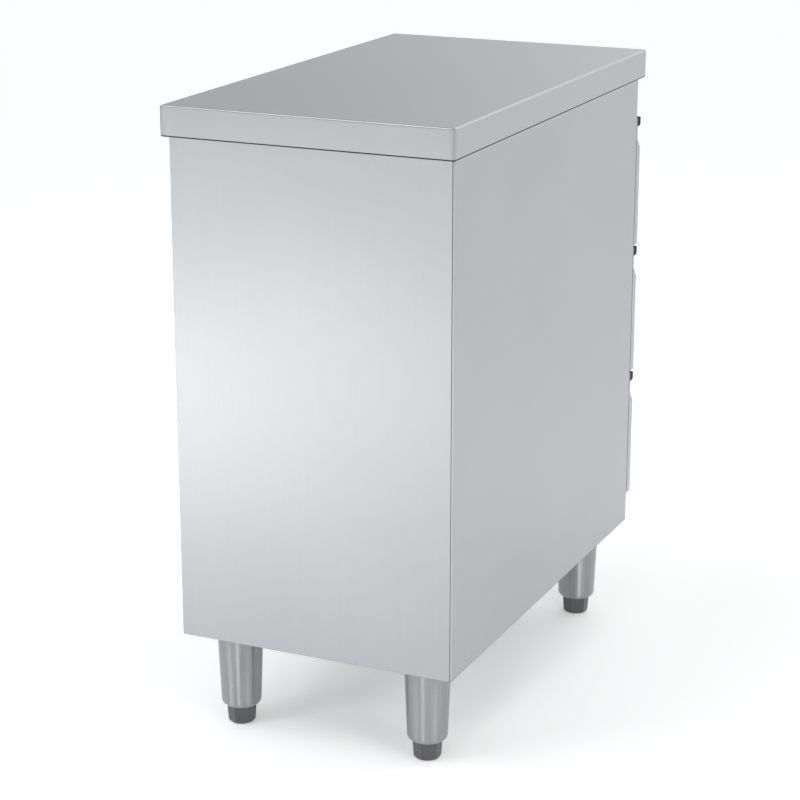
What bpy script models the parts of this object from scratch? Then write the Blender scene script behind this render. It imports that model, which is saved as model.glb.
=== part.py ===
"""Stainless steel drawer cabinet on four adjustable legs, modelled piece by piece.

Units are metres and +Z is up. The origin is on the floor under the middle of the worktop. The
drawers open towards -Y, so +Y is the back, and left and right are as seen by someone at the drawers.
"""
import math

import bmesh
import bpy
from mathutils import Matrix, Vector

# Overall size and the gap left between pieces that touch
WIDTH = 0.400
DEPTH = 0.700
HEIGHT = 0.850
SEAT = 0.0003

# Worktop: a folded sheet with a return underneath, stiffened by a bonded board
FASCIA = 0.040
WORKTOP_SHEET = 0.0012
WORKTOP_BEND = 0.0025
WORKTOP_RETURN = 0.025
BOARD_THICKNESS = 0.018

# Carcass of folded sheet, set in under the worktop
SIDE_OVERHANG = 0.005
BACK_OVERHANG = 0.011
FRONT_OVERHANG = 0.015
BODY_BOTTOM = 0.138
BODY_SHEET = 0.001
BODY_BEND = 0.002
BODY_FLANGE = 0.015
FLOOR_DEPTH = 0.038
FLOOR_RETURN = 0.030
TOP_RAIL_HEIGHT = 0.057
RAIL_FLANGE = 0.025
RAIL_LAP = 0.012
REAR_RAIL_HEIGHT = 0.035
POST_WIDTH = 0.040
POST_FOOT = 0.010
POST_MARGIN = 0.004

# Drawers, from the floor up
DRAWERS = ("bottom", "middle", "top")
DRAWER_GAP = 0.0035
DRAWER_REST = 0.0005
FRONT_REVEAL = 0.0003
FRONT_DEPTH = 0.0145
FRONT_SHEET = 0.001
FRONT_BEND = 0.0025
UPRIGHT_THICKNESS = 0.0015
RECESS_HEIGHT = 0.0305
WINDOW_LAP = 0.008
GRIP_HEIGHT = 0.013
GRIP_DEPTH = 0.0125
GRIP_EDGE = 0.002
GRIP_TOE = 0.004
GRIP_LIP = 0.0095
GRIP_WALL = 0.0022
GRIP_WEB = 0.0045
GRIP_CAP = 0.004
TRAY_LENGTH = 0.590
TRAY_LIFT = 0.012
TRAY_DROP = 0.027
TRAY_RIM = 0.008

# Telescopic runners with two ball cages each
RUNNER_LENGTH = 0.580
RUNNER_SETBACK = 0.004
RUNNER_THICKNESS = 0.0127
RUNNER_HEIGHT = 0.045
RUNNER_RISE = 0.060
RUNNER_SHEET = 0.0012
SLIDE_GAP = 0.0004
DRAWER_TRAVEL = 0.540
CAGE_SHEET = 0.0006
CAGE_MARGIN = 0.040
OUTER_BALL_RADIUS = 0.0020
INNER_BALL_RADIUS = 0.0015
BALLS_PER_ROW = 3
BALL_SIDES = 6
BALL_RINGS = 4

# Legs and their screw feet
LEG_INSET = 0.057
LEG_FLANGE_MARGIN = 0.012
LEG_FLANGE_THICKNESS = 0.003
LEG_TOP_RADIUS = 0.031
LEG_LOW_RADIUS = 0.027
LEG_ROUND = 0.008
LEG_WALL = 0.0015
LEG_RIM_HEIGHT = 0.026
BUSH_LENGTH = 0.030
STEM_RADIUS = 0.008
STEM_LENGTH = 0.056
STEM_ROOT = 0.0075
STEM_CHAMFER = 0.0013
FOOT_RADIUS = 0.0205
FOOT_TAPER = 0.001
FOOT_ROUND = 0.0085
FOOT_CHAMFER = 0.002
FOOT_EDGE = 0.0012
FOOT_SIDES = 6
ROUND_SIDES = 32
SHARP_ANGLE = 35

# Faces and lines that several pieces share
WORKTOP_BOTTOM = HEIGHT - FASCIA
BODY_TOP = WORKTOP_BOTTOM - SEAT
BODY_HALF = WIDTH / 2 - SIDE_OVERHANG
BODY_FRONT = FRONT_OVERHANG - DEPTH / 2
BODY_BACK = DEPTH / 2 - BACK_OVERHANG
SIDE_BACK = BODY_BACK - BODY_SHEET - SEAT
INNER_HALF = BODY_HALF - BODY_SHEET - SEAT
INNER_FRONT = BODY_FRONT + BODY_SHEET + SEAT
INNER_BACK = SIDE_BACK - BODY_SHEET - SEAT
INNER_TOP = BODY_TOP - BODY_SHEET - SEAT
RAIL_HALF = BODY_HALF - BODY_BEND - SEAT
POST_TOP = BODY_TOP - BODY_BEND - SEAT
FLOOR_TOP = BODY_BOTTOM + FLOOR_DEPTH
STACK_TOP = BODY_TOP - TOP_RAIL_HEIGHT
DRAWER_PITCH = (STACK_TOP - FLOOR_TOP) / len(DRAWERS)
FRONT_HEIGHT = DRAWER_PITCH - DRAWER_GAP
FRONT_HALF = BODY_HALF - FRONT_REVEAL
FRONT_BACK = BODY_FRONT - DRAWER_REST
POST_FACE = BODY_HALF - BODY_FLANGE
TRAY_HALF = POST_FACE - RUNNER_THICKNESS
RUNNER_FRONT = BODY_FRONT + RUNNER_SETBACK
RUNNER_MIDDLE = RUNNER_FRONT + RUNNER_LENGTH / 2
CAGE_LENGTH = RUNNER_LENGTH - DRAWER_TRAVEL / 2 - 2 * CAGE_MARGIN

SIDES = {"left": -1, "right": 1}
ENDS = {"front": BODY_FRONT + LEG_INSET, "rear": BODY_BACK - LEG_INSET}


def metal_or_plastic(name, colour, roughness, metallic):
    """A Principled material of one colour."""
    made = bpy.data.materials.new(name)
    made.use_nodes = True
    shader = made.node_tree.nodes["Principled BSDF"]
    shader.inputs["Base Color"].default_value = (*colour, 1.0)
    shader.inputs["Roughness"].default_value = roughness
    shader.inputs["Metallic"].default_value = metallic
    made.diffuse_color = (*colour, 1.0)
    return made


def mesh_from(shape, name):
    """Turn a finished bmesh into a mesh with its faces pointing out."""
    bmesh.ops.recalc_face_normals(shape, faces=shape.faces)
    made = bpy.data.meshes.new(name)
    shape.to_mesh(made)
    shape.free()
    return made


def place(name, mesh, material, holder, location=(0, 0, 0), turn=0.0):
    """Put a named piece on the empty that carries it, with its round faces shaded smooth."""
    piece = bpy.data.objects.new(name, mesh)
    bpy.context.collection.objects.link(piece)
    mesh.materials.clear()
    mesh.materials.append(material)
    mesh.shade_smooth()
    mesh.set_sharp_from_angle(angle=math.radians(SHARP_ANGLE))
    piece.parent = holder
    piece.location = location
    piece.rotation_euler.z = turn
    return piece


def holder_at(name, location=(0, 0, 0)):
    """An empty that carries the pieces of one body."""
    made = bpy.data.objects.new(name, None)
    made.location = location
    bpy.context.collection.objects.link(made)
    return made


def settled(mesh, operation, tools):
    """The mesh after a boolean with each tool mesh in turn."""
    target = bpy.data.objects.new("target", mesh)
    bpy.context.collection.objects.link(target)
    helpers = []
    for tool in tools:
        helper = bpy.data.objects.new("tool", tool)
        bpy.context.collection.objects.link(helper)
        helper.hide_render = True
        helper.display_type = "WIRE"
        helpers.append(helper)
        cut = target.modifiers.new("shape", "BOOLEAN")
        cut.operation = operation
        cut.object = helper
    depsgraph = bpy.context.evaluated_depsgraph_get()
    made = bpy.data.meshes.new_from_object(target.evaluated_get(depsgraph))
    for spent in [target, *helpers]:
        bpy.data.objects.remove(spent)
    return made


def prism(name, outline, axis, start, end):
    """Extrude a closed outline along X, Y or Z; the outline holds the other two coordinates in order."""
    at = "XYZ".index(axis)
    shape = bmesh.new()
    loop = []
    for first, second in outline:
        point = [first, second]
        point.insert(at, start)
        loop.append(shape.verts.new(point))
    cap = shape.faces.new(loop)
    grown = bmesh.ops.extrude_face_region(shape, geom=[cap])["geom"]
    push = Vector((0, 0, 0))
    push[at] = end - start
    bmesh.ops.translate(shape, vec=push, verts=[v for v in grown if isinstance(v, bmesh.types.BMVert)])
    return mesh_from(shape, name)


def bend_points(before, corner, after, radius, steps):
    """Points of the arc that rounds a corner of a path."""
    back = (before - corner).normalized()
    ahead = (after - corner).normalized()
    half = back.angle(ahead) / 2
    centre = corner + (back + ahead).normalized() * radius / math.sin(half)
    arm = corner + back * radius / math.tan(half) - centre
    other = corner + ahead * radius / math.tan(half) - centre
    sweep = -arm.angle_signed(other)
    return [centre + Matrix.Rotation(sweep * i / steps, 2) @ arm for i in range(steps + 1)]


def folded_outline(path, sheet, steps=2):
    """Outline of a folded strip of sheet whose middle line follows a path with round bends."""
    path = [Vector(point) for point in path]
    line = [path[0]]
    for before, corner, after in zip(path, path[1:], path[2:]):
        line += bend_points(before, corner, after, sheet, steps)
    line.append(path[-1])
    one_side = []
    other_side = []
    for i, point in enumerate(line):
        behind = (point - line[max(i - 1, 0)]).normalized()
        ahead = (line[min(i + 1, len(line) - 1)] - point).normalized()
        along = (behind + ahead).normalized()
        square = Vector((-along.y, along.x))
        reach = sheet / 2 / max(along.dot(ahead), along.dot(behind))
        one_side.append(point + square * reach)
        other_side.append(point - square * reach)
    return one_side + other_side[::-1]


def folded_pan(name, low, high, mouth, sheet, bend, lip=0.0, left_out=None, steps=2):
    """A panel with its edges folded square, open towards the mouth; a lip may turn in round the mouth."""
    low = Vector(low)
    high = Vector(high)
    shape = bmesh.new()
    bmesh.ops.create_cube(shape, size=1.0)
    bmesh.ops.scale(shape, vec=high - low, verts=shape.verts)
    bmesh.ops.translate(shape, vec=(low + high) / 2, verts=shape.verts)
    shape.normal_update()
    opening = [face for face in shape.faces if face.normal.dot(Vector(mouth)) > 0.9]
    gone = list(opening)
    if left_out:
        gone += [face for face in shape.faces if face.normal.dot(Vector(left_out)) > 0.9]
    if lip:
        bmesh.ops.inset_region(shape, faces=opening, thickness=lip, use_even_offset=True)
    bmesh.ops.delete(shape, geom=gone, context="FACES")
    folds = [edge for edge in shape.edges if len(edge.link_faces) == 2 and edge.calc_face_angle() > 0.1]
    bmesh.ops.bevel(shape, geom=folds, offset=bend, segments=steps, profile=0.5, affect="EDGES")
    mesh = bpy.data.meshes.new(name)
    shape.to_mesh(mesh)
    shape.free()
    target = bpy.data.objects.new("target", mesh)
    bpy.context.collection.objects.link(target)
    wall = target.modifiers.new("sheet", "SOLIDIFY")
    wall.thickness = sheet
    wall.offset = -1
    wall.use_even_offset = True
    wall.use_quality_normals = True
    depsgraph = bpy.context.evaluated_depsgraph_get()
    made = bpy.data.meshes.new_from_object(target.evaluated_get(depsgraph))
    bpy.data.objects.remove(target)
    return made


def turned(name, profile, sides=ROUND_SIDES):
    """Turn a closed profile of radius and height once round the Z axis."""
    shape = bmesh.new()
    ring = [shape.verts.new((radius, 0, height)) for radius, height in profile]
    edges = [shape.edges.new((ring[i - 1], ring[i])) for i in range(len(ring))]
    bmesh.ops.spin(
        shape, geom=ring + edges, axis=(0, 0, 1), cent=(0, 0, 0),
        angle=math.tau, steps=sides, use_merge=True)
    bmesh.ops.remove_doubles(shape, verts=shape.verts, dist=1e-6)
    return mesh_from(shape, name)


def arc(centre, radius, first, last, steps):
    """Points of an arc, with its angles in degrees."""
    points = []
    for i in range(steps + 1):
        angle = math.radians(first + (last - first) * i / steps)
        points.append((centre[0] + radius * math.cos(angle), centre[1] + radius * math.sin(angle)))
    return points


def make_worktop(steel, board, carcass):
    """The folded top with its bonded board."""
    top = folded_pan(
        "worktop", (-WIDTH / 2, -DEPTH / 2, WORKTOP_BOTTOM), (WIDTH / 2, DEPTH / 2, HEIGHT),
        (0, 0, -1), WORKTOP_SHEET, WORKTOP_BEND, lip=WORKTOP_RETURN, steps=3)
    place("worktop", top, steel, carcass)
    half_x = WIDTH / 2 - WORKTOP_SHEET - WORKTOP_BEND
    half_y = DEPTH / 2 - WORKTOP_SHEET - WORKTOP_BEND
    board_top = HEIGHT - WORKTOP_SHEET - SEAT
    outline = [(-half_x, -half_y), (half_x, -half_y), (half_x, half_y), (-half_x, half_y)]
    slab = prism("worktop_board", outline, "Z", board_top - BOARD_THICKNESS, board_top)
    place("worktop_board", slab, board, carcass)


def make_carcass(steel, carcass):
    """Side, back and floor panels and the two rails under the worktop."""
    for side, sign in SIDES.items():
        outer = sign * BODY_HALF
        inner = sign * POST_FACE
        low = (min(outer, inner), BODY_FRONT, BODY_BOTTOM)
        high = (max(outer, inner), SIDE_BACK, BODY_TOP)
        panel = folded_pan(
            "side_panel", low, high, (-sign, 0, 0), BODY_SHEET, BODY_BEND, left_out=(0, 0, -1))
        place(f"{side}_side_panel", panel, steel, carcass)
    edge = BODY_BACK - BODY_SHEET
    outline = [(-BODY_HALF, edge), (BODY_HALF, edge), (BODY_HALF, BODY_BACK), (-BODY_HALF, BODY_BACK)]
    back = prism("back_panel", outline, "Z", BODY_BOTTOM, BODY_TOP)
    place("back_panel", back, steel, carcass)
    floor = folded_pan(
        "floor_panel", (-INNER_HALF, INNER_FRONT, BODY_BOTTOM), (INNER_HALF, INNER_BACK, FLOOR_TOP),
        (0, 0, -1), BODY_SHEET, BODY_BEND, lip=FLOOR_RETURN)
    place("floor_panel", floor, steel, carcass)
    half = BODY_SHEET / 2
    high = INNER_TOP - half
    low = STACK_TOP - RAIL_LAP + half
    near = INNER_FRONT + half
    front_path = [(near + RAIL_FLANGE, high), (near, high), (near, low), (near + RAIL_FLANGE, low)]
    rail = prism("front_top_rail", folded_outline(front_path, BODY_SHEET), "X", -RAIL_HALF, RAIL_HALF)
    place("front_top_rail", rail, steel, carcass)
    far = INNER_BACK - half
    rear_path = [(far - RAIL_FLANGE, high), (far, high), (far, high - REAR_RAIL_HEIGHT)]
    rail = prism("rear_top_rail", folded_outline(rear_path, BODY_SHEET), "X", -RAIL_HALF, RAIL_HALF)
    place("rear_top_rail", rail, steel, carcass)


def make_posts(steel, carcass):
    """Upright hat sections inside the side panels, which carry the runners."""
    half = BODY_SHEET / 2
    deep = INNER_HALF - POST_FACE - BODY_SHEET
    reach = POST_WIDTH / 2
    path = [
        (-half, -reach - POST_FOOT), (-half, -reach), (-half - deep, -reach),
        (-half - deep, reach), (-half, reach), (-half, reach + POST_FOOT)]
    section = folded_outline(path, BODY_SHEET)
    post = prism("post", section, "Z", FLOOR_TOP + SEAT, POST_TOP)
    from_end = POST_FOOT + reach
    stations = {
        "front": INNER_FRONT + RAIL_FLANGE + BODY_SHEET + POST_MARGIN + from_end,
        "rear": RUNNER_FRONT + RUNNER_LENGTH - from_end}
    for side, sign in SIDES.items():
        for end, station in stations.items():
            place(
                f"{side}_{end}_post", post, steel, carcass, (sign * INNER_HALF, station, 0),
                turn=0.0 if sign > 0 else math.pi)


def runner_sections():
    """Outlines of the runner's five nested parts, as (distance in from the post, height) pairs."""
    sheet = RUNNER_SHEET
    half = sheet / 2
    outer_web = SEAT + half
    outer_cage_web = outer_web + half + SLIDE_GAP + CAGE_SHEET / 2
    middle_web = outer_cage_web + CAGE_SHEET / 2 + SLIDE_GAP + half
    inner_cage_web = middle_web + half + SLIDE_GAP + CAGE_SHEET / 2
    inner_tip = inner_cage_web + CAGE_SHEET / 2 + 2 * SLIDE_GAP
    inner_web = RUNNER_THICKNESS - SEAT - half
    middle_lip = inner_web - half - 2 * SLIDE_GAP - half
    outer_lip = middle_lip - 2 * SLIDE_GAP
    outer_cage_tip = outer_lip - half - 2 * SLIDE_GAP
    inner_cage_tip = middle_lip - half - SLIDE_GAP
    outer_flange = RUNNER_HEIGHT / 2 - half
    outer_ball = outer_flange - half - SEAT - OUTER_BALL_RADIUS
    middle_flange = outer_ball - OUTER_BALL_RADIUS - SEAT - half
    inner_ball = middle_flange - half - SEAT - INNER_BALL_RADIUS
    inner_flange = inner_ball - INNER_BALL_RADIUS - SEAT - half
    rows = {
        "outer_ball_cage": ((outer_cage_web + outer_lip - half) / 2, outer_ball, OUTER_BALL_RADIUS),
        "inner_ball_cage": ((inner_cage_web + middle_lip - half) / 2, inner_ball, INNER_BALL_RADIUS)}
    paths = {
        "outer_runner": [(outer_lip, outer_ball), (outer_lip, outer_flange), (outer_web, outer_flange)],
        "outer_ball_cage": [(outer_cage_tip, outer_ball), (outer_cage_web, outer_ball)],
        "middle_runner": [(middle_lip, inner_ball), (middle_lip, middle_flange), (middle_web, middle_flange)],
        "inner_ball_cage": [(inner_cage_tip, inner_ball), (inner_cage_web, inner_ball)],
        "inner_runner": [(inner_tip, inner_flange), (inner_web, inner_flange)]}
    outlines = {}
    for part, upper in paths.items():
        lower = [(across, -height) for across, height in reversed(upper)]
        path = [(-across, height) for across, height in upper + lower]
        outlines[part] = folded_outline(path, CAGE_SHEET if part in rows else sheet)
    return outlines, rows


def ball_rows(across, height, radius):
    """The balls of one cage, in an upper and a lower row."""
    shape = bmesh.new()
    pitch = CAGE_LENGTH / BALLS_PER_ROW
    for row in (-height, height):
        for i in range(BALLS_PER_ROW):
            at = Vector((-across, (i - (BALLS_PER_ROW - 1) / 2) * pitch, row))
            bmesh.ops.create_uvsphere(
                shape, u_segments=BALL_SIDES, v_segments=BALL_RINGS, radius=radius,
                matrix=Matrix.Translation(at))
    return mesh_from(shape, "balls")


def make_runners(steel, cage_steel, carcass, drawers):
    """Outer members on the posts, inner members on the trays, the middle members and cages between."""
    outlines, rows = runner_sections()
    meshes = {}
    for part, outline in outlines.items():
        length = CAGE_LENGTH if part in rows else RUNNER_LENGTH
        meshes[part] = prism(part, outline, "Y", -length / 2, length / 2)
        if part in rows:
            meshes[part] = settled(meshes[part], "UNION", [ball_rows(*rows[part])])
    for level, drawer in drawers.items():
        height = drawer.location.z + RUNNER_RISE
        for part, mesh in meshes.items():
            if part == "outer_runner":
                holder = carcass
            elif part == "inner_runner":
                holder = drawer
            else:
                holder = holder_at(f"{level}_{part}s", (0, RUNNER_MIDDLE, height))
            for side, sign in SIDES.items():
                place(
                    f"{level}_{side}_{part}", mesh, cage_steel if part in rows else steel, holder,
                    Vector((sign * POST_FACE, RUNNER_MIDDLE, height)) - holder.location,
                    turn=0.0 if sign > 0 else math.pi)


def front_mesh():
    """Folded drawer front: face, slope and recessed upright, hollow behind the face."""
    slope = FRONT_DEPTH - UPRIGHT_THICKNESS
    recess_foot = FRONT_HEIGHT - RECESS_HEIGHT
    face_top = recess_foot - slope
    face_bottom = arc((FRONT_DEPTH - FRONT_BEND, FRONT_BEND), FRONT_BEND, -90, 0, 3)
    outline = [(0, 0), *face_bottom, (FRONT_DEPTH, face_top), (UPRIGHT_THICKNESS, recess_foot)]
    outline += [(UPRIGHT_THICKNESS, FRONT_HEIGHT), (0, FRONT_HEIGHT)]
    block = prism("drawer_front", [(-out, up) for out, up in outline], "X", -FRONT_HALF, FRONT_HALF)
    hollow = [(FRONT_SHEET, FRONT_SHEET), (FRONT_DEPTH - FRONT_BEND, FRONT_SHEET)]
    hollow += [(FRONT_DEPTH - FRONT_SHEET, FRONT_BEND)]
    hollow += [(FRONT_DEPTH - FRONT_SHEET, face_top + FRONT_SHEET * (1 - math.sqrt(2)))]
    hollow += [(FRONT_SHEET, face_top + FRONT_DEPTH - FRONT_SHEET * (1 + math.sqrt(2)))]
    inside = FRONT_HALF - FRONT_SHEET
    cavity = prism("cavity", [(-out, up) for out, up in hollow], "X", -inside, inside)
    low = TRAY_LIFT + WINDOW_LAP
    high = face_top - WINDOW_LAP
    behind = FRONT_SHEET
    ahead = -2 * FRONT_SHEET
    window = [(behind, low), (ahead, low), (ahead, high), (behind, high)]
    opening = prism("window", window, "X", WINDOW_LAP - TRAY_HALF, TRAY_HALF - WINDOW_LAP)
    return settled(block, "DIFFERENCE", [cavity, opening])


def grip_mesh():
    """Moulded grip: an upright lip with a finger hollow behind it, closed at both ends."""
    outline = [(0, -GRIP_HEIGHT), (0, 0)]
    outline += arc((GRIP_EDGE - GRIP_DEPTH, -GRIP_EDGE), GRIP_EDGE, 90, 180, 4)
    outline += arc((GRIP_TOE - GRIP_DEPTH, GRIP_TOE - GRIP_HEIGHT), GRIP_TOE, 180, 270, 5)
    bar = prism("drawer_grip", outline, "X", -FRONT_HALF, FRONT_HALF)
    behind_lip = GRIP_WALL - GRIP_DEPTH
    beyond = 2 * GRIP_DEPTH
    under = -2 * GRIP_HEIGHT
    hollow = [(beyond, under), (beyond, -GRIP_WEB), (-GRIP_WALL, -GRIP_WEB), (-GRIP_WALL, -GRIP_WALL)]
    hollow += arc((behind_lip + GRIP_EDGE, -GRIP_WALL - GRIP_EDGE), GRIP_EDGE, 90, 180, 4)
    hollow += [(behind_lip, -GRIP_LIP), (-beyond, -GRIP_LIP), (-beyond, under)]
    reach = FRONT_HALF - GRIP_CAP
    return settled(bar, "DIFFERENCE", [prism("hollow", hollow, "X", -reach, reach)])


def make_drawers(steel, plastic, drawers):
    """Front, grip and open tray of each drawer, about the lower back edge of its front."""
    tray_top = FRONT_HEIGHT - TRAY_DROP
    tray = folded_pan(
        "drawer_tray", (-TRAY_HALF, SEAT, TRAY_LIFT), (TRAY_HALF, SEAT + TRAY_LENGTH, tray_top),
        (0, 0, 1), BODY_SHEET, BODY_BEND, lip=TRAY_RIM)
    front = front_mesh()
    grip = grip_mesh()
    for level, holder in drawers.items():
        place(f"{level}_drawer_front", front, steel, holder)
        place(f"{level}_drawer_grip", grip, plastic, holder, (0, -UPRIGHT_THICKNESS - SEAT, FRONT_HEIGHT))
        place(f"{level}_drawer_tray", tray, steel, holder)


def foot_mesh():
    """Hexagonal plastic foot, turned round at its upper and lower edges, and its screw stem."""
    top = LEG_RIM_HEIGHT - SEAT
    shape = bmesh.new()
    bmesh.ops.create_cone(
        shape, cap_ends=True, segments=FOOT_SIDES, radius1=FOOT_RADIUS - FOOT_TAPER, radius2=FOOT_RADIUS,
        depth=top, matrix=Matrix.Translation((0, 0, top / 2)))
    upright = [edge for edge in shape.edges if abs(edge.verts[0].co.z - edge.verts[1].co.z) > top / 2]
    bmesh.ops.bevel(shape, geom=upright, offset=FOOT_EDGE, segments=2, profile=0.5, affect="EDGES")
    block = mesh_from(shape, "foot")
    lower = arc((FOOT_RADIUS - FOOT_ROUND, FOOT_ROUND), FOOT_ROUND, -90, 0, 6)
    upper = [(FOOT_RADIUS, top - FOOT_CHAMFER / 2), (FOOT_RADIUS - FOOT_CHAMFER, top)]
    trimmed = settled(block, "INTERSECT", [turned("round", [(0, 0), *lower, *upper, (0, top)])])
    shape = bmesh.new()
    root = top - STEM_ROOT
    stem_top = LEG_RIM_HEIGHT + STEM_LENGTH
    bmesh.ops.create_cone(
        shape, cap_ends=True, segments=ROUND_SIDES // 2, radius1=STEM_RADIUS, radius2=STEM_RADIUS,
        depth=stem_top - root, matrix=Matrix.Translation((0, 0, (root + stem_top) / 2)))
    tip = [edge for edge in shape.edges if min(vert.co.z for vert in edge.verts) > stem_top - SEAT]
    bmesh.ops.bevel(shape, geom=tip, offset=STEM_CHAMFER, segments=1, affect="EDGES")
    return settled(trimmed, "UNION", [mesh_from(shape, "stem")])


def leg_mesh():
    """Conical steel leg with a top flange and a bored bush in its rounded end."""
    flange_top = BODY_BOTTOM - SEAT
    flange_bottom = flange_top - LEG_FLANGE_THICKNESS
    flange_radius = LEG_INSET - LEG_FLANGE_MARGIN
    bush_top = LEG_RIM_HEIGHT + BUSH_LENGTH
    low = LEG_RIM_HEIGHT + LEG_ROUND
    lean = (LEG_TOP_RADIUS - LEG_LOW_RADIUS) / (flange_bottom - low)
    bush_radius = LEG_LOW_RADIUS + lean * (bush_top - low) - LEG_WALL
    bore = STEM_RADIUS + SEAT
    shoulder = arc((LEG_LOW_RADIUS - LEG_ROUND, low), LEG_ROUND, 0, -90, 4)
    profile = [(flange_radius, flange_top), (flange_radius, flange_bottom)]
    profile += [(LEG_TOP_RADIUS, flange_bottom), *shoulder]
    profile += [(bore, LEG_RIM_HEIGHT), (bore, bush_top), (bush_radius, bush_top)]
    profile += [(LEG_TOP_RADIUS - LEG_WALL, flange_top)]
    return turned("leg", profile)


def make_legs(steel, plastic, carcass):
    """Four legs whose flanges carry the floor panel's returns, each with its foot screwed in."""
    leg = leg_mesh()
    foot = foot_mesh()
    for end, station in ENDS.items():
        for side, sign in SIDES.items():
            at = (sign * (BODY_HALF - LEG_INSET), station, 0)
            place(f"{end}_{side}_leg", leg, steel, carcass, at)
            place(f"{end}_{side}_foot", foot, plastic, holder_at(f"{end}_{side}_foot_axis", at))


def build():
    """Clear the scene and make the whole cabinet."""
    for old in list(bpy.data.objects):
        bpy.data.objects.remove(old)
    steel = metal_or_plastic("satin_steel", (0.62, 0.63, 0.64), 0.36, 1.0)
    runner_steel = metal_or_plastic("runner_steel", (0.55, 0.56, 0.57), 0.30, 1.0)
    cage_steel = metal_or_plastic("cage_steel", (0.48, 0.47, 0.44), 0.40, 1.0)
    board = metal_or_plastic("board", (0.55, 0.53, 0.48), 0.75, 0.0)
    black = metal_or_plastic("black_plastic", (0.015, 0.015, 0.016), 0.45, 0.0)
    grey = metal_or_plastic("grey_plastic", (0.085, 0.085, 0.09), 0.55, 0.0)
    carcass = holder_at("carcass")
    drawers = {}
    for i, level in enumerate(DRAWERS):
        height = FLOOR_TOP + DRAWER_GAP + i * DRAWER_PITCH
        drawers[level] = holder_at(f"{level}_drawer", (0, FRONT_BACK, height))
    make_worktop(steel, board, carcass)
    make_carcass(steel, carcass)
    make_posts(steel, carcass)
    make_runners(runner_steel, cage_steel, carcass, drawers)
    make_drawers(steel, black, drawers)
    make_legs(steel, grey, carcass)


build()
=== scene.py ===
"""The finished look of a stainless steel drawer cabinet: folded sheets, drawers on runners, legs, studio.

Metres, +Z up, drawers open towards -Y. Left and right are as seen by someone at the drawers.
"""

import math

import bmesh
import bpy
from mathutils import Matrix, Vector


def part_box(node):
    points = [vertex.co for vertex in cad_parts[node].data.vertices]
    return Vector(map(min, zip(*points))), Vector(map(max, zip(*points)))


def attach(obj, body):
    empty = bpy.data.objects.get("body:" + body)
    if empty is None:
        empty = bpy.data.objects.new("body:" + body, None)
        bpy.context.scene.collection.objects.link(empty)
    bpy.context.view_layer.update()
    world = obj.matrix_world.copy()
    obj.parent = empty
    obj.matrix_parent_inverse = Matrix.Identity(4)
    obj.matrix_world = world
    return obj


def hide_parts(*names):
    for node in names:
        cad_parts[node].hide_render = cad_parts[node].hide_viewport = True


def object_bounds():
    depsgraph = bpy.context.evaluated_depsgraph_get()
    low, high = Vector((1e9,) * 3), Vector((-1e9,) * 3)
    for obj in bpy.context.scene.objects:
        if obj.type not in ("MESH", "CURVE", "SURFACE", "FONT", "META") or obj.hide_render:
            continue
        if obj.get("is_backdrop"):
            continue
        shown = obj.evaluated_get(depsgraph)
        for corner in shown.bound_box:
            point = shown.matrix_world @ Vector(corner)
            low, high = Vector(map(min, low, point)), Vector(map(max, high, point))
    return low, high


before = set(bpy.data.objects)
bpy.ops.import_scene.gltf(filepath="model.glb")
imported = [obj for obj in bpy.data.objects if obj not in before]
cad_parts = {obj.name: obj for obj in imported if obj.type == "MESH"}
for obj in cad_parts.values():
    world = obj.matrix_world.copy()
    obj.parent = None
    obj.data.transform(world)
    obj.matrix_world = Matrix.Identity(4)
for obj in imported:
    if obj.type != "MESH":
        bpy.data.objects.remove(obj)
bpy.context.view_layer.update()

# Floor pan: one stainless sheet folded down on all four sides, with returns turned in underneath.
# Its front fold is the rail below the drawers, and the legs' flanges are bolted under its returns.


class Wire:
    """One output of a shader node; arithmetic on it adds the nodes that work it out."""

    def __init__(self, socket):
        self.socket = socket

    def node(self, kind, settings, sockets, output=0):
        """Add a node to the same tree, set it, feed its sockets and return one of its outputs."""
        tree = self.socket.id_data
        made = tree.nodes.new("ShaderNode" + kind)
        for name, value in settings.items():
            setattr(made, name, value)
        for name, value in sockets.items():
            if isinstance(value, Wire):
                tree.links.new(value.socket, made.inputs[name])
            else:
                made.inputs[name].default_value = value
        return Wire(made.outputs[output])

    def feed(self, shader, name):
        """Join this output to a socket of a shader."""
        self.socket.id_data.links.new(self.socket, shader.inputs[name])

    def maths(self, operation, first, second):
        """Add a Math node that works on two values."""
        return self.node("Math", {"operation": operation}, {0: first, 1: second})

    def __add__(self, other):
        return self.maths("ADD", self, other)

    def __radd__(self, other):
        return self.maths("ADD", other, self)

    def __sub__(self, other):
        return self.maths("SUBTRACT", self, other)

    def __rsub__(self, other):
        return self.maths("SUBTRACT", other, self)

    def __mul__(self, other):
        return self.maths("MULTIPLY", self, other)

    def __rmul__(self, other):
        return self.maths("MULTIPLY", other, self)

    def __gt__(self, other):
        return self.maths("GREATER_THAN", self, other)

    def __lt__(self, other):
        return self.maths("LESS_THAN", self, other)

    def __abs__(self):
        return self.node("Math", {"operation": "ABSOLUTE"}, {0: self})


def new_finish(name, metallic):
    """An empty finish, with its shader and the place on the piece that its patterns start from."""
    finish = bpy.data.materials.new(name)
    finish.use_nodes = True
    shader = finish.node_tree.nodes["Principled BSDF"]
    shader.inputs["Metallic"].default_value = metallic
    spot = Wire(finish.node_tree.nodes.new("ShaderNodeTexCoord").outputs["Object"])
    return finish, shader, spot


def speckle(spot, waves, detail=2.0):
    """Noise from 0 to 1 with its own number of waves per metre along X, Y and Z."""
    placed = spot.node("VectorMath", {"operation": "MULTIPLY"}, {0: spot, 1: waves})
    return spot.node("TexNoise", {}, {"Vector": placed, "Scale": 1.0, "Detail": detail})


def strokes(axis, across, along):
    """Waves per metre of marks that lie close together across an axis and are drawn out along it."""
    waves = [across, across, across]
    waves["XYZ".index(axis)] = along
    return waves


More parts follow.
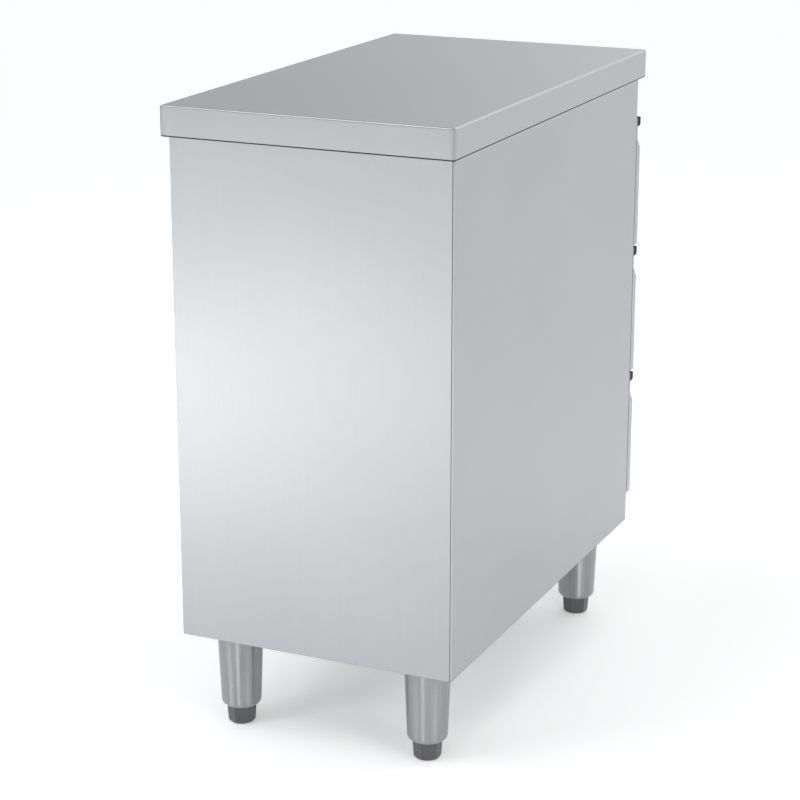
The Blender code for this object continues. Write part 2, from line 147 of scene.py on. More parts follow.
def blended(share, first, second):
    """A colour between two, by a share from 0 to 1."""
    ends = [end if isinstance(end, Wire) else (*end, 1.0) for end in (first, second)]
    return share.node("Mix", {"data_type": "RGBA"}, {0: share, 6: ends[0], 7: ends[1]}, 2)


def axis_share(vector, axis):
    """One coordinate of a place or a normal."""
    return vector.node("SeparateXYZ", {}, {0: vector}, "XYZ".index(axis))


def satin_steel(name, grain, wrapped, shade_or_tone_drop=0.0, matt=0.0, rubbed=None, sheared_and_shade_mask=None):
    """Sheet ground with a fine belt along one axis; on faces square to that axis it runs along another.

    A sheet's tone may be shifted from the others', which on the side panels is painted shade; a sheet may
    also be more matt, rubbed in places, and painted near black through a mask, partly for its cut edges and
    partly as painted shade under folds and in seams.
    """
    dark_grey = (0.394, 0.401, 0.416)
    light_grey = (0.488, 0.495, 0.509)
    rubbed_grey = (0.26, 0.265, 0.275)
    near_black_shade_grey = (0.055, 0.055, 0.057)
    finish, shader, spot = new_finish(name, 1.0)
    facing = Wire(spot.socket.node.outputs["Normal"])
    square = abs(axis_share(facing, grain)) > 0.7
    lines = {}
    for axis in (grain, wrapped):
        fine = speckle(spot, strokes(axis, 820.0, 7.0))
        broad = speckle(spot, strokes(axis, 150.0, 2.5))
        lines[axis] = fine * 0.62 + broad * 0.38
    belt = lines[grain] * (1 - square) + lines[wrapped] * square
    cloud = speckle(spot, (5.0, 5.0, 5.0), 3.0)
    # The tone drop lowers a whole sheet's colour; on the side panels this is painted shade.
    tone = belt * 0.40 + cloud * 0.60 - shade_or_tone_drop
    rough = 0.245 + matt + cloud * 0.06 + belt * 0.05
    colour = blended(tone, dark_grey, light_grey)
    if rubbed:
        mark = rubbed(spot)
        colour = blended(mark * 0.4, colour, rubbed_grey)
        rough = rough + mark * 0.05
    # Painted near black through the mask: on sheared edges partly their own darker cut, elsewhere painted
    # shade.
    if sheared_and_shade_mask:
        shade_share = sheared_and_shade_mask(facing)
        colour = blended(shade_share, colour, near_black_shade_grey)
        rough = rough + shade_share * 0.25
    colour.feed(shader, "Base Color")
    rough.feed(shader, "Roughness")
    sway = speckle(spot, (2.6, 2.6, 2.6), 0.0)
    sheet = spot.node("Bump", {}, {"Strength": 1.0, "Distance": 0.0010, "Height": sway})
    ground = spot.node("Bump", {}, {"Strength": 0.35, "Distance": 0.00003, "Height": belt, "Normal": sheet})
    ground.feed(shader, "Normal")
    return finish


def pick(piece, kind, wanted):
    """In edit mode, select only the faces or edges that pass a test."""
    bpy.ops.mesh.select_mode(type=kind[:-1].upper())
    bpy.ops.mesh.select_all(action="DESELECT")
    shape = bmesh.from_edit_mesh(piece.data)
    for part in getattr(shape, kind):
        if wanted(part):
            part.select_set(True)
    bmesh.update_edit_mesh(piece.data)


def pick_facing(piece, way):
    """In edit mode, select only the faces that look one way."""
    pick(piece, "faces", lambda face: face.normal.dot(Vector(way)) > 0.99)


def opened(name):
    """Name the primitive just added, put its place into its mesh and open it in edit mode."""
    piece = bpy.context.active_object
    piece.name = name
    bpy.ops.object.transform_apply(location=True, rotation=True, scale=True)
    bpy.ops.object.mode_set(mode="EDIT")
    return piece


def block(name, low, high):
    """Start a piece as a box between two corners."""
    bpy.ops.object.select_all(action="DESELECT")
    low = Vector(low)
    high = Vector(high)
    bpy.ops.mesh.primitive_cube_add(size=1, location=(low + high) / 2, scale=high - low)
    return opened(name)


def smoothed(piece, sharp=35):
    """Shade a piece smooth apart from its sharp edges, so that its flats stay flat and its bends round."""
    bpy.ops.object.shade_smooth_by_angle(angle=math.radians(sharp))
    flats = piece.modifiers.new("flats", "WEIGHTED_NORMAL")
    flats.keep_sharp = True
    bpy.ops.object.modifier_apply(modifier="flats")
    return piece


def round_off(piece, radius, steps, wanted):
    """Round the edges that pass a test."""
    pick(piece, "edges", wanted)
    bpy.ops.mesh.bevel(offset=radius, segments=steps, profile=0.5, affect="EDGES")


def folds(edge, least=0.5):
    """Whether two faces meet at an edge and turn there by more than an angle, in radians."""
    return len(edge.link_faces) == 2 and edge.calc_face_angle() > least


def folded_pan(name, node, mouth, sheet, bend, lip=0.0, left_out=None):
    """Fold a sheet square over a solid's box, open at its mouth, round which a lip may turn in."""
    piece = block(name, *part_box(node))
    if left_out:
        pick_facing(piece, left_out)
        bpy.ops.mesh.delete(type="ONLY_FACE")
    pick_facing(piece, mouth)
    if lip:
        bpy.ops.mesh.inset(thickness=lip, use_even_offset=True)
    bpy.ops.mesh.delete(type="FACE")
    round_off(piece, bend, 6, folds)
    bpy.ops.object.mode_set(mode="OBJECT")
    wall = piece.modifiers.new("sheet", "SOLIDIFY")
    wall.thickness = sheet
    wall.offset = -1
    wall.use_even_offset = True
    wall.use_quality_normals = True
    bpy.ops.object.modifier_apply(modifier="sheet")
    return smoothed(piece)


def dress(piece, finish, slot, body, *nodes):
    """Give a piece its finish and the body it moves with, in place of the solids named."""
    piece.data.materials.clear()
    piece.data.materials.append(finish)
    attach(piece, body)
    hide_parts(*nodes)


body_sheet = 0.001
body_bend = 0.002
floor_lip = 0.030
floor_pan = folded_pan("floor_pan", "floor_panel", (0, 0, -1), body_sheet, body_bend, lip=floor_lip)
dress(floor_pan, satin_steel("floor_steel", "X", "Z"), "satin_steel", "carcass", "floor_panel")

# Legs: conical stainless tubes with a rounded lower end, welded to a round flange at the top.
# A bush in the lower end takes the foot's thread, and four bolts hold the flange under the floor pan.

ENDS = {"front": -1, "rear": 1}
SIDES = {"left": -1, "right": 1}

# Two places closer than a hair count as one, and round pieces have this many sides.
hair = 0.0001
round_sides = 96


def bar_stock(name, sides, low_radius, top_radius, base, height):
    """Start a piece as an upright bar, straight or tapered, that stands on the middle of its base."""
    bpy.ops.object.select_all(action="DESELECT")
    bpy.ops.mesh.primitive_cone_add(
        vertices=sides, radius1=low_radius, radius2=top_radius, depth=height,
        location=(base[0], base[1], base[2] + height / 2))
    return opened(name)


def closed(piece, sharp=35):
    """Leave edit mode with the faces turned out, and shade the piece."""
    bpy.ops.mesh.select_all(action="SELECT")
    bpy.ops.mesh.normals_make_consistent(inside=False)
    bpy.ops.object.mode_set(mode="OBJECT")
    return smoothed(piece, sharp)


def centre(part):
    """The middle of a face or an edge."""
    return sum((vert.co for vert in part.verts), Vector()) / len(part.verts)


def level_with(edge, height):
    """Whether the whole of an edge lies at a height."""
    return all(abs(vert.co.z - height) < hair for vert in edge.verts)


def moved_copy(piece, name, shift, turn=(0, 0, 0)):
    """A copy with its own mesh, turned about the origin and then moved."""
    bpy.ops.object.select_all(action="DESELECT")
    twin = piece.copy()
    twin.data = piece.data.copy()
    twin.name = name
    bpy.context.collection.objects.link(twin)
    bpy.context.view_layer.objects.active = twin
    twin.select_set(True)
    twin.location = shift
    twin.rotation_euler = turn
    bpy.ops.object.transform_apply(location=True, rotation=True, scale=True)
    return twin


def row_of(piece, name, places, turn=(0, 0, 0)):
    """Copies of a small piece at several places, joined as one."""
    copies = [moved_copy(piece, name, place, turn) for place in places]
    bpy.ops.object.select_all(action="DESELECT")
    for copy in copies:
        copy.select_set(True)
    bpy.context.view_layer.objects.active = copies[0]
    bpy.ops.object.join()
    copies[0].name = name
    return copies[0]


def turned_steel(name, gloss, streaks):
    """Stainless steel polished round and round, which draws out every reflection along its length."""
    dark_grey = (0.255, 0.259, 0.266)
    light_grey = (0.495, 0.501, 0.512)
    finish, shader, spot = new_finish(name, 1.0)
    shader.inputs["Anisotropic"].default_value = 0.95
    shader.inputs["Anisotropic Rotation"].default_value = 0.25
    drawn = speckle(spot, strokes("Z", streaks, 4.0))
    rings = speckle(spot, strokes("Z", 6.0, 700.0))
    cloud = speckle(spot, strokes("Z", 18.0, 12.0))
    tone = drawn * 0.6 + cloud * 0.25 + rings * 0.15
    blended(tone, dark_grey, light_grey).feed(shader, "Base Color")
    (gloss + rings * 0.05 + cloud * 0.05).feed(shader, "Roughness")
    spot.node("Bump", {}, {"Strength": 0.3, "Distance": 0.00003, "Height": rings}).feed(shader, "Normal")
    return finish


leg_low, leg_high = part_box("front_left_leg")
leg_axis = (leg_low + leg_high) / 2
flange_radius = (leg_high.x - leg_low.x) / 2
flange_thickness = 0.003
flange_edge = 0.0005
flange_bottom = leg_high.z - flange_thickness
weld_fillet = 0.0018
tube_height = flange_bottom - leg_low.z
tube_top_radius = 0.031
tube_low_radius = 0.0267
tube_round = 0.008
tube_wall = 0.0015
bush_height = 0.030
bore_radius = 0.0083
bush_radius = tube_low_radius + (tube_top_radius - tube_low_radius) * bush_height / tube_height - tube_wall


def from_axis(point):
    """How far a point is from the front left leg's axis."""
    return math.hypot(point.x - leg_axis.x, point.y - leg_axis.y)


def scale_round(ratio):
    """Scale what is selected about the front left leg's axis."""
    bpy.ops.transform.resize(value=(ratio, ratio, 1), center_override=(leg_axis.x, leg_axis.y, 0))


def step_in(ratio):
    """Draw a new ring of faces from the selected round face and scale it about the leg's axis."""
    bpy.ops.mesh.extrude_region_move()
    scale_round(ratio)


def push(height):
    """Extrude the selected faces up, or down."""
    bpy.ops.mesh.extrude_region_move(TRANSFORM_OT_translate={"value": (0, 0, height)})


leg = bar_stock(
    "front_left_leg_tube", round_sides, tube_low_radius, tube_top_radius,
    (leg_axis.x, leg_axis.y, leg_low.z), tube_height)
round_off(leg, tube_round, 8, lambda edge: level_with(edge, leg_low.z))
pick_facing(leg, (0, 0, -1))
bpy.ops.mesh.delete(type="ONLY_FACE")
pick_facing(leg, (0, 0, 1))
step_in(flange_radius / tube_top_radius)
push(flange_thickness)
step_in((tube_top_radius - tube_wall) / flange_radius)
push(leg_low.z + bush_height - leg_high.z)
scale_round(bush_radius / (tube_top_radius - tube_wall))
step_in(bore_radius / bush_radius)
push(-bush_height)
bpy.ops.mesh.delete(type="ONLY_FACE")
pick(leg, "edges", lambda edge: len(edge.link_faces) == 1)
bpy.ops.mesh.bridge_edge_loops()
round_off(
    leg, weld_fillet, 4,
    lambda edge: level_with(edge, flange_bottom) and from_axis(centre(edge)) < tube_top_radius + hair
    and folds(edge))
round_off(leg, flange_edge, 2, lambda edge: from_axis(centre(edge)) > flange_radius - hair and folds(edge))
closed(leg)

bolt_radius = 0.0044
bolt_height = 0.0034
bolt_edge = 0.0005
bolt_rim = 0.0008
bolt_dish = 0.0003
bolt = bar_stock("bolt", 6, bolt_radius, bolt_radius, (0, 0, -bolt_height), bolt_height)
round_off(bolt, bolt_edge, 2, lambda edge: centre(edge).z < -hair)
pick_facing(bolt, (0, 0, -1))
bpy.ops.mesh.inset(thickness=bolt_rim)
push(bolt_dish)
closed(bolt)

leg_steel = turned_steel("leg_steel", gloss=0.33, streaks=190.0)
bolt_steel = turned_steel("bolt_steel", gloss=0.30, streaks=400.0)
bolt_circle = 0.0385
bolt_spread = math.radians(20)
for end, end_sign in ENDS.items():
    for side, sign in SIDES.items():
        low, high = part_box(f"{end}_{side}_leg")
        axis = (low + high) / 2
        tube = moved_copy(leg, f"{end}_{side}_leg_tube", axis - leg_axis)
        dress(tube, leg_steel, "satin_steel", "carcass", f"{end}_{side}_leg")
        places = []
        for swing in (-bolt_spread, bolt_spread):
            long_arm = bolt_circle * math.cos(swing)
            short_arm = bolt_circle * math.sin(swing)
            for reach_x, reach_y in ((long_arm, short_arm), (short_arm, long_arm)):
                places.append((axis.x + sign * reach_x, axis.y + end_sign * reach_y, flange_bottom))
        bolts = row_of(bolt, f"{end}_{side}_leg_bolts", places)
        dress(bolts, bolt_steel, "satin_steel", "carcass")
bpy.data.objects.remove(leg)
bpy.data.objects.remove(bolt)

# Feet: hexagonal grey nylon mouldings on threaded steel studs, screwed into the legs' bushes.
# Turning one by its flats levels the cabinet.


def moulded_plastic(name, dark, light, gloss, shine):
    """Plastic with the fine spark-eroded grain of its mould, slightly cloudy in colour."""
    finish, shader, spot = new_finish(name, 0.0)
    shader.inputs["Specular IOR Level"].default_value = shine
    grain = speckle(spot, (1900.0, 1900.0, 1900.0), 3.0)
    cloud = speckle(spot, (70.0, 70.0, 70.0))
    blended(grain * 0.35 + cloud * 0.65, dark, light).feed(shader, "Base Color")
    (gloss + grain * 0.12 + cloud * 0.06).feed(shader, "Roughness")
    spot.node("Bump", {}, {"Strength": 0.5, "Distance": 0.00008, "Height": grain}).feed(shader, "Normal")
    return finish


def cut(piece, tool, operation="DIFFERENCE"):
    """Take a tool's shape out of a piece, or keep only what lies inside it, and clear the tool away."""
    bpy.context.view_layer.objects.active = piece
    step = piece.modifiers.new("cut", "BOOLEAN")
    step.operation = operation
    step.object = tool
    bpy.ops.object.modifier_apply(modifier="cut")
    bpy.data.objects.remove(tool)


foot_low, foot_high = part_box("front_left_foot")
foot_axis = (foot_low + foot_high) / 2
foot_base = (foot_axis.x, foot_axis.y, 0)
corner_loss = 0.0002
foot_radius = (foot_high.y - foot_low.y) / 2 + corner_loss
seat = 0.0003
foot_top = leg_low.z - seat
foot_taper = 0.002
foot_edge = 0.0011
foot_round = 0.0085
foot_shoulder = 0.0022

foot = bar_stock("foot", 6, foot_radius - foot_taper, foot_radius, foot_base, foot_top)
round_off(foot, foot_edge, 4, lambda edge: abs(edge.verts[0].co.z - edge.verts[1].co.z) > foot_top / 2)
closed(foot)
trim = bar_stock("trim", round_sides, foot_radius, foot_radius, foot_base, foot_top)
round_off(trim, foot_round, 12, lambda edge: level_with(edge, 0))
round_off(trim, foot_shoulder, 5, lambda edge: level_with(edge, foot_top))
closed(trim)
cut(foot, trim, "INTERSECT")
smoothed(foot)

stud_pitch = 0.002
stud_root = 0.0068
stud_crest = 0.0079
stud_top = foot_high.z
stud_turns = math.ceil((stud_top - foot_top) / stud_pitch) + 2
stud_steps = 20
bpy.ops.object.select_all(action="DESELECT")
bpy.ops.mesh.primitive_plane_add(size=stud_pitch)
stud = opened("stud")
bpy.ops.mesh.select_mode(type="VERT")
bpy.ops.mesh.select_all(action="SELECT")
bpy.ops.mesh.merge(type="CENTER")
bpy.ops.transform.translate(value=(stud_root, 0, foot_top - stud_pitch))
flank = stud_crest - stud_root
for out in (0, flank, 0, -flank):
    bpy.ops.mesh.extrude_region_move(TRANSFORM_OT_translate={"value": (out, 0, stud_pitch / 4)})
bpy.ops.object.mode_set(mode="OBJECT")
thread = stud.modifiers.new("thread", "SCREW")
thread.axis = "Z"
thread.screw_offset = stud_pitch
thread.iterations = stud_turns
thread.steps = stud_steps
thread.render_steps = stud_steps
bpy.ops.object.modifier_apply(modifier="thread")
bpy.ops.object.mode_set(mode="EDIT")
bpy.ops.mesh.select_all(action="SELECT")
bpy.ops.mesh.remove_doubles(threshold=hair / 10)
bpy.ops.mesh.bisect(plane_co=(0, 0, foot_top), plane_no=(0, 0, 1), use_fill=True, clear_inner=True)
bpy.ops.mesh.select_all(action="SELECT")
bpy.ops.mesh.bisect(plane_co=(0, 0, stud_top), plane_no=(0, 0, 1), use_fill=True, clear_outer=True)
closed(stud, sharp=25)

foot_plastic = moulded_plastic(
    "foot_plastic", dark=(0.086, 0.086, 0.090), light=(0.116, 0.116, 0.120), gloss=0.36, shine=0.45)
stud_steel = turned_steel("stud_steel", gloss=0.30, streaks=400.0)
for end in ENDS:
    for side in SIDES:
        name = f"{end}_{side}_foot"
        low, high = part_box(name)
        there = (low + high) / 2
        pad = moved_copy(foot, name + "_pad", there - foot_axis)
        dress(pad, foot_plastic, "grey_plastic", name, name)
        screw = moved_copy(stud, name + "_stud", (there.x, there.y, 0))
        dress(screw, stud_steel, "runner_steel", name, name)
bpy.data.objects.remove(foot)
bpy.data.objects.remove(stud)

# Side panels: 1 mm stainless sheet with narrow flanges folded in at the front, the back and the top.
# They stand beside the floor pan and are spot welded to it and to the posts inside them.

panel_bend = 0.0035
edge_round = 0.0008


def painted_underside_shade(facing):
    """Edges and folds that face down, painted near black as painted shade where the shadow falls under them.
    """
    return axis_share(facing, "Z") < -0.12


def outer_foot(edge, low, sign):
    """Whether an edge is on the outer side of a panel's lower cut edge."""
    if not level_with(edge, low.z):
        return False
    for face in edge.link_faces:
        outward = max(face.normal.x * sign, face.normal.y * math.copysign(1, centre(face).y))
        if abs(face.normal.z) < 0.5 and outward > 0.2:
            return True
    return False


# Painted shade: the side panels' colour is set darker than the other sheets, and their downward lower edges
# are painted near black.
panel_steel_painted_shade = satin_steel("panel_steel_painted_shade", "Z", "Y", shade_or_tone_drop=0.15, sheared_and_shade_mask=painted_underside_shade)
for side, sign in SIDES.items():
    node = f"{side}_side_panel"
    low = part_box(node)[0]
    shell = folded_pan(
        f"{side}_side_shell", node, (-sign, 0, 0), body_sheet, panel_bend, left_out=(0, 0, -1))
    bpy.ops.object.mode_set(mode="EDIT")
    round_off(shell, edge_round, 4, lambda edge: outer_foot(edge, low, sign))
    closed(shell)
    dress(shell, panel_steel_painted_shade, "satin_steel", "carcass", node)

# Back panel: a flat stainless sheet on the side panels' rear flanges, spot welded between their bends.
# Its edges are sheared and broken, and painted near black: partly their rougher cut, partly painted shade
# for the seams beside them.

back_low, back_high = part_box("back_panel")
back_seam = Vector((0.0017, 0, 0))
back_sheet = block("back_sheet", back_low + back_seam, back_high - back_seam)
round_off(back_sheet, edge_round, 4, lambda edge: centre(edge).y > back_high.y - hair)
closed(back_sheet)


def sheared_edges_and_shade(facing):
    """The cut edges of a sheet, painted near black: partly their own sheared finish, partly painted shade
    for the seams.
    """
    return abs(axis_share(facing, "Y")) < 0.85


# Painted shade: the back sheet's cut edges are painted near black where they meet the seams.
back_steel = satin_steel("back_steel", "Z", "X", sheared_and_shade_mask=sheared_edges_and_shade)
dress(back_sheet, back_steel, "satin_steel", "carcass", "back_panel")

# Rails and posts: folded strips of the same sheet, spot welded inside the carcass.
# The rails tie the side panels under the worktop, and the posts carry the runners.


def refinish(node, finish):
    """Give a solid that is shown as it is a finer finish."""
    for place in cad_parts[node].material_slots:
        place.material = finish


rail_steel = satin_steel("rail_steel", "X", "Y")
refinish("front_top_rail", rail_steel)
refinish("rear_top_rail", rail_steel)
post_steel = satin_steel("post_steel", "Z", "Y")
for side in SIDES:
    for end in ENDS:
        refinish(f"{side}_{end}_post", post_steel)

# Runners: rolled, zinc plated channels in three nested members, with ball cages between them.
# The outer ones are fixed to the posts, and low cross-head screws hold the inner ones to the trays.

LEVELS = ("bottom", "middle", "top")


def plated_steel(name, dark, light, gloss):
    """Rolled strip with a zinc plating: faint lines along the strip and a cloudy blue-yellow cast."""
    finish, shader, spot = new_finish(name, 1.0)
    rolled = speckle(spot, strokes("Y", 700.0, 4.0))
    cast = speckle(spot, (45.0, 45.0, 45.0), 3.0)
    blended(rolled * 0.4 + cast * 0.6, dark, light).feed(shader, "Base Color")
    (gloss + rolled * 0.06 + cast * 0.12).feed(shader, "Roughness")
    spot.node("Bump", {}, {"Strength": 0.3, "Distance": 0.00004, "Height": rolled}).feed(shader, "Normal")
    return finish


runner_zinc = plated_steel("runner_zinc", dark=(0.47, 0.475, 0.48), light=(0.60, 0.60, 0.585), gloss=0.24)
cage_zinc = plated_steel("cage_zinc", dark=(0.42, 0.41, 0.37), light=(0.53, 0.52, 0.475), gloss=0.30)
for level in LEVELS:
    for side in SIDES:
        for member in ("outer_runner", "middle_runner", "inner_runner"):
            refinish(f"{level}_{side}_{member}", runner_zinc)
        for member in ("outer_ball_cage", "inner_ball_cage"):
            refinish(f"{level}_{side}_{member}", cage_zinc)

screw_sides = 32
screw_radius = 0.0038
screw_height = 0.0018
screw_crown = 0.0012
screw_head = bar_stock("screw_head", screw_sides, screw_radius, screw_radius, (0, 0, 0), screw_height)
round_off(screw_head, screw_crown, 4, lambda edge: level_with(edge, screw_height))
closed(screw_head)
recess_reach = 0.0021
recess_half = 0.00045
recess_floor = 0.0008
for reach_x, reach_y in ((recess_reach, recess_half), (recess_half, recess_reach)):
    cross = block("cross", (-reach_x, -reach_y, recess_floor), (reach_x, reach_y, 2 * screw_height))
    bpy.ops.object.mode_set(mode="OBJECT")
    cut(screw_head, cross)

screw_steel = plated_steel("screw_steel", dark=(0.50, 0.50, 0.50), light=(0.62, 0.62, 0.61), gloss=0.22)
runner_web = 0.0015
screw_sink = 0.0003
screw_shares = (0.08, 0.5, 0.92)
for level in LEVELS:
    for side, sign in SIDES.items():
        low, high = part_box(f"{level}_{side}_inner_runner")
        tray_face = low.x if sign > 0 else high.x
        web = tray_face + sign * (runner_web - screw_sink)
        length = high.y - low.y
        places = [(web, low.y + length * share, (low.z + high.z) / 2) for share in screw_shares]
        row = row_of(screw_head, f"{level}_{side}_runner_screws", places, (0, sign * math.pi / 2, 0))
        dress(row, screw_steel, "runner_steel", f"{level}_drawer")

# Trays: open stainless boxes with folded corners and a rim turned in round the top.
# Four cross-head screws through each front wall hold the drawer's front.

tray_rim = 0.008
front_screw_reach = 0.115
front_screw_shares = (0.22, 0.78)
tray_steel = satin_steel("tray_steel", "Y", "X", shade_or_tone_drop=-0.4, matt=0.25)
tray_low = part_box("bottom_drawer_tray")[0]
tray = folded_pan("tray", "bottom_drawer_tray", (0, 0, 1), body_sheet, body_bend, lip=tray_rim)
for level in LEVELS:
    node = f"{level}_drawer_tray"
    low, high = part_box(node)
    box = moved_copy(tray, f"{level}_drawer_box", low - tray_low)
    dress(box, tray_steel, "satin_steel", f"{level}_drawer", node)
    places = []
    for across in (-front_screw_reach, front_screw_reach):
        for share in front_screw_shares:
            places.append((across, low.y + body_sheet, low.z + (high.z - low.z) * share))
    row = row_of(screw_head, f"{level}_drawer_front_screws", places, (-math.pi / 2, 0, 0))
    dress(row, screw_steel, "runner_steel", f"{level}_drawer")
bpy.data.objects.remove(tray)
bpy.data.objects.remove(screw_head)

# Drawer fronts: stainless sheet folded into a closed box with a set-back upper edge.
# The face slopes back to a thin upright that leaves room for fingers under the grip.

front_low, front_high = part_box("bottom_drawer_front")
upright_thickness = 0.0015
recess_height = 0.0305
front_bend = 0.0025
slope_bend = 0.0018
end_round = 0.0006
slope = front_high.y - front_low.y - upright_thickness
recess_foot = front_high.z - recess_height
face_top = recess_foot - slope
front = block("front", front_low, (front_high.x, front_high.y, face_top))
pick_facing(front, (0, 0, 1))
push(slope)
pick(
    front, "edges",
    lambda edge: centre(edge).z > recess_foot - hair and centre(edge).y < front_low.y + hair)
bpy.ops.transform.translate(value=(0, slope, 0))
pick_facing(front, (0, 0, 1))
push(recess_height)
round_off(
    front, front_bend, 6,
    lambda edge: centre(edge).z < front_low.z + hair and centre(edge).y < front_low.y + hair)
round_off(
    front, slope_bend, 5,
    lambda edge: abs(edge.verts[0].co.x - edge.verts[1].co.x) > front_high.x
    and 0.3 < edge.calc_face_angle() < 1.0 and centre(edge).z > face_top - 10 * hair)
round_off(
    front, end_round, 3,
    lambda edge: abs(abs(centre(edge).x) - front_high.x) < hair and folds(edge, 1.2)
    and centre(edge).y < front_high.y - hair)
closed(front)

front_steel = satin_steel("front_steel", "X", "Z")
for level in LEVELS:
    node = f"{level}_drawer_front"
    panel = moved_copy(front, f"{level}_drawer_face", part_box(node)[0] - front_low)
    dress(panel, front_steel, "satin_steel", f"{level}_drawer", node)
bpy.data.objects.remove(front)

# Grips: black nylon mouldings screwed to the uprights, each an upright lip with a finger hollow behind.
# They run the full width of a front and are closed at both ends.

grip_low, grip_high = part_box("bottom_drawer_grip")
grip_edge = 0.002
grip_toe = 0.004
grip_lip = 0.0095
grip_wall = 0.0022
grip_web = 0.0045
grip_cap = 0.004
lip_round = 0.0008
grip = block("grip", grip_low, grip_high)
for height, radius in ((grip_high.z, grip_edge), (grip_low.z, grip_toe)):
    round_off(
        grip, radius, 8,
        lambda edge: centre(edge).y < grip_low.y + hair and abs(centre(edge).z - height) < hair)
round_off(
    grip, end_round, 3,
    lambda edge: abs(centre(edge).x) > grip_high.x - hair and centre(edge).y < grip_high.y - hair)
closed(grip)
inside = grip_high.x - grip_cap
lip_back = grip_low.y + grip_wall
lip_end = grip_high.z - grip_lip
beyond = 0.02
under = grip_low.z - beyond
hollow_top = grip_high.z - grip_wall
hollow = block("hollow", (-inside, lip_back, under), (inside, grip_high.y - grip_wall, hollow_top))
round_off(
    hollow, grip_edge, 6,
    lambda edge: centre(edge).y < lip_back + hair and centre(edge).z > hollow_top - hair)
closed(hollow)
behind = block(
    "behind", (-inside, grip_high.y - 1.2 * grip_wall, under),
    (inside, grip_high.y + beyond, grip_high.z - grip_web))
bpy.ops.object.mode_set(mode="OBJECT")
below = block("below", (-inside, grip_low.y - beyond, under), (inside, grip_high.y, lip_end))
bpy.ops.object.mode_set(mode="OBJECT")
for cutter in (hollow, behind, below):
    cut(grip, cutter)
bpy.ops.object.mode_set(mode="EDIT")
round_off(
    grip, lip_round, 4,
    lambda edge: level_with(edge, lip_end) and abs(edge.verts[0].co.x - edge.verts[1].co.x) > inside)
closed(grip)

grip_plastic = moulded_plastic(
    "grip_plastic", dark=(0.008, 0.008, 0.009), light=(0.015, 0.015, 0.016), gloss=0.40, shine=0.1)
for level in LEVELS:
    node = f"{level}_drawer_grip"
    handle = moved_copy(grip, f"{level}_drawer_handle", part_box(node)[0] - grip_low)
    dress(handle, grip_plastic, "black_plastic", f"{level}_drawer", node)
bpy.data.objects.remove(grip)

# Worktop: thicker stainless sheet folded down on all sides, with welded and ground corners.
# A board bonded under it stiffens it and keeps it from drumming.

top_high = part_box("worktop")[1]
worktop_gauge = 0.0012
worktop_bend = 0.0025
worktop_lip = 0.025


def eased(value, start, end, first=0.0, last=1.0):
    """A smooth change from one level to another while a value goes from its start to its end."""
    return value.node(
        "MapRange", {"interpolation_type": "SMOOTHSTEP"},
        {"Value": value, "From Min": start, "From Max": end, "To Min": first, "To Max": last})


def ground_corners(spot):
    """Strips of uneven width beside the welded corners, where the weld was ground by hand."""
    far_x = top_high.x - abs(axis_share(spot, "X"))
    far_y = top_high.y - abs(axis_share(spot, "Y"))
    reach = 0.003 + speckle(spot, (75.0, 75.0, 75.0)) * 0.012
    from_corner = far_x.maths("MAXIMUM", far_x, far_y)
    return eased(from_corner, 0.0, reach, first=1.0, last=0.0)


def pressed_board(name):
    """Pressed wood board: small pale and dark flakes in a warm grey ground."""
    dark_flake = (0.36, 0.30, 0.22)
    pale_flake = (0.66, 0.58, 0.45)
    finish, shader, spot = new_finish(name, 0.0)
    flakes = spot.node("TexVoronoi", {}, {"Vector": spot, "Scale": 420.0}, 1)
    shade = spot.node("SeparateColor", {}, {0: flakes}, 0)
    fibre = speckle(spot, strokes("Y", 260.0, 110.0), 4.0)
    blended(shade * 0.5 + fibre * 0.5, dark_flake, pale_flake).feed(shader, "Base Color")
    (0.68 + fibre * 0.2).feed(shader, "Roughness")
    spot.node("Bump", {}, {"Strength": 0.5, "Distance": 0.0003, "Height": fibre}).feed(shader, "Normal")
    return finish


refinish("worktop_board", pressed_board("board_flakes"))
worktop_sheet = folded_pan(
    "worktop_sheet", "worktop", (0, 0, -1), worktop_gauge, worktop_bend, lip=worktop_lip)
# Painted shade: the fascia's downward lower bends are painted near black for the shadow line under the
# worktop.
worktop_steel = satin_steel("worktop_steel", "Y", "X", rubbed=ground_corners, sheared_and_shade_mask=painted_underside_shade)
dress(worktop_sheet, worktop_steel, "satin_steel", "carcass", "worktop")

# Studio: a wide white floor under an overcast sky, with two bright patches that the worktop's edges mirror.
# Soft boxes hang overhead, and a snoot draws a line down each leg in view.
# The camera stands behind the cabinet, on its left, a little above the worktop.

floor_width = 400
floor_glow = 0.25
bpy.ops.object.select_all(action="DESELECT")
bpy.ops.mesh.primitive_plane_add(size=floor_width)
floor = bpy.context.active_object
floor.name = "studio_floor"
white = bpy.data.materials.new("floor_white")
white.use_nodes = True
paint = white.node_tree.nodes["Principled BSDF"]
paint.inputs["Base Color"].default_value = (0.94, 0.94, 0.94, 1.0)
paint.inputs["Roughness"].default_value = 0.9
paint.inputs["Specular IOR Level"].default_value = 0.0
paint.inputs["Emission Strength"].default_value = 1.0
rays = white.node_tree.nodes.new("ShaderNodeLightPath")
seen = Wire(rays.outputs["Is Camera Ray"])
for kind in ("Is Glossy Ray", "Is Transmission Ray"):
    seen = seen + Wire(rays.outputs[kind])
(seen * floor_glow).feed(paint, "Emission Color")
floor.data.materials.append(white)
floor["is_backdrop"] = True

scene = bpy.context.scene
sky = bpy.data.worlds.new("studio_sky")
scene.world = sky
sky.use_nodes = True
glow = sky.node_tree.nodes["Background"]
glow.inputs["Color"].default_value = (0.985, 0.992, 1.0, 1.0)
skyward = Wire(sky.node_tree.nodes.new("ShaderNodeTexCoord").outputs["Generated"])


def bright_patch(way, rim, power):
    """A round patch of sky in one direction, full at its core and gone at its rim, both given as cosines."""
    middle = Vector(way).normalized()
    nearness = skyward.node("VectorMath", {"operation": "DOT_PRODUCT"}, {0: skyward, 1: middle}, 1)
    return eased(nearness, rim, patch_core) * power


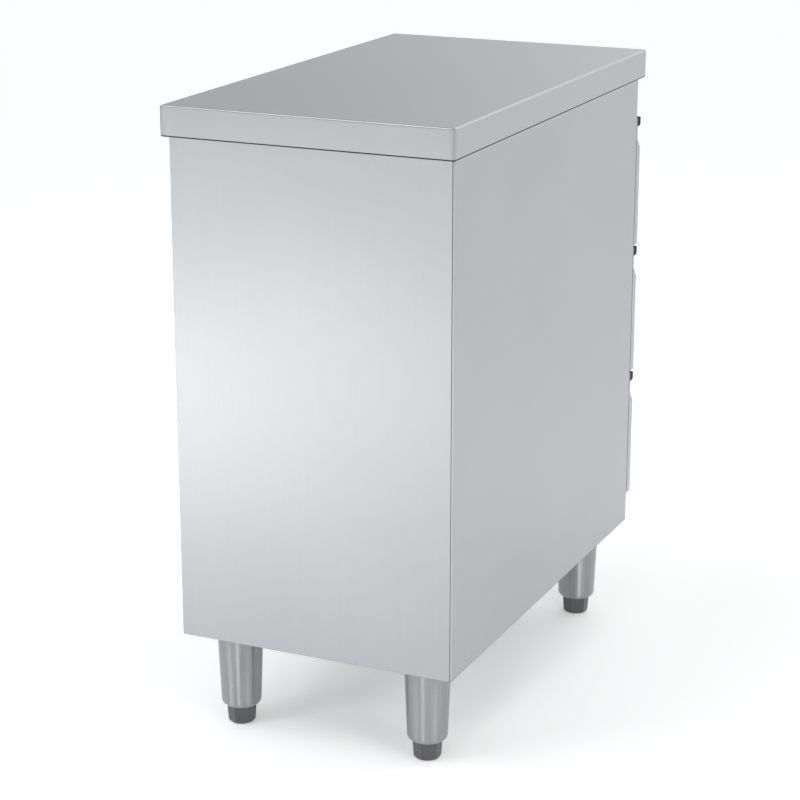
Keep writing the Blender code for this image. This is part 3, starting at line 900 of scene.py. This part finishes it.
patch_core = 0.99
sky_level = 0.55
horizon_gain = 0.45
brightness = sky_level + eased(axis_share(skyward, "Z"), 0.04, 0.25, first=horizon_gain, last=0.0)
brightness = brightness + bright_patch((-0.22, -0.88, 0.42), rim=0.74, power=0.68)
brightness = brightness + bright_patch((0.40, 0.29, 0.87), rim=0.95, power=3.2)
brightness.feed(glow, "Strength")


def lamp(name, kind, place, target, power):
    """A lamp at a place that points at a target."""
    made = bpy.data.objects.new(name, bpy.data.lights.new(name, kind))
    bpy.context.collection.objects.link(made)
    made.data.energy = power
    made.location = place
    made.rotation_euler = (Vector(target) - Vector(place)).to_track_quat("-Z", "Y").to_euler()
    return made


def soft_box(name, place, target, width, power):
    """A square lamp behind a grid, which isn't itself in the picture."""
    made = lamp(name, "AREA", place, target, power)
    made.data.size = width
    made.data.spread = math.radians(150)
    made.visible_camera = False


soft_box("rear_box", (1.3, 1.95, 1.0), (1.3, 1.95, 0), width=0.45, power=13)
soft_box("near_box", (0.9, 1.45, 1.0), (0.9, 1.45, 0), width=0.45, power=4)
soft_box("side_box", (-0.8, -0.3, 1.2), (-0.8, -0.3, 0), width=0.7, power=0.8)
soft_box("left_box", (-2.0, 1.15, 1.4), (-2.0, 1.15, 0), width=0.5, power=15)
soft_box("front_box", (-0.2, -1.9, 2.7), (0, -0.7, 0.2), width=1.1, power=3.5)

snoot_throw = 3


def snoot(leg, way, power):
    """A narrow lamp some way from a leg that draws a bright line down it."""
    low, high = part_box(leg)
    target = (low + high) / 2
    made = lamp(leg + "_snoot", "SPOT", target + snoot_throw * Vector(way).normalized(), target, power)
    made.data.shadow_soft_size = 0.16
    made.data.spot_size = math.radians(7)
    made.data.spot_blend = 0.6


snoot("front_left_leg", (-0.58, 0.74, 0.34), power=80)
snoot("rear_left_leg", (0.0, 0.94, 0.34), power=65)
snoot("rear_right_leg", (-0.20, 0.92, 0.34), power=65)

camera = bpy.data.objects.new("camera", bpy.data.cameras.new("camera"))
bpy.context.collection.objects.link(camera)
camera.data.sensor_width = 36
camera.data.lens = 104.80
camera.location = (-1.2639, 2.8449, 1.3408)
camera.rotation_euler = Vector((0.396101, -0.870955, -0.290761)).to_track_quat("-Z", "Y").to_euler()
scene.camera = camera
scene.view_settings.view_transform = "Standard"

low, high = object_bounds()
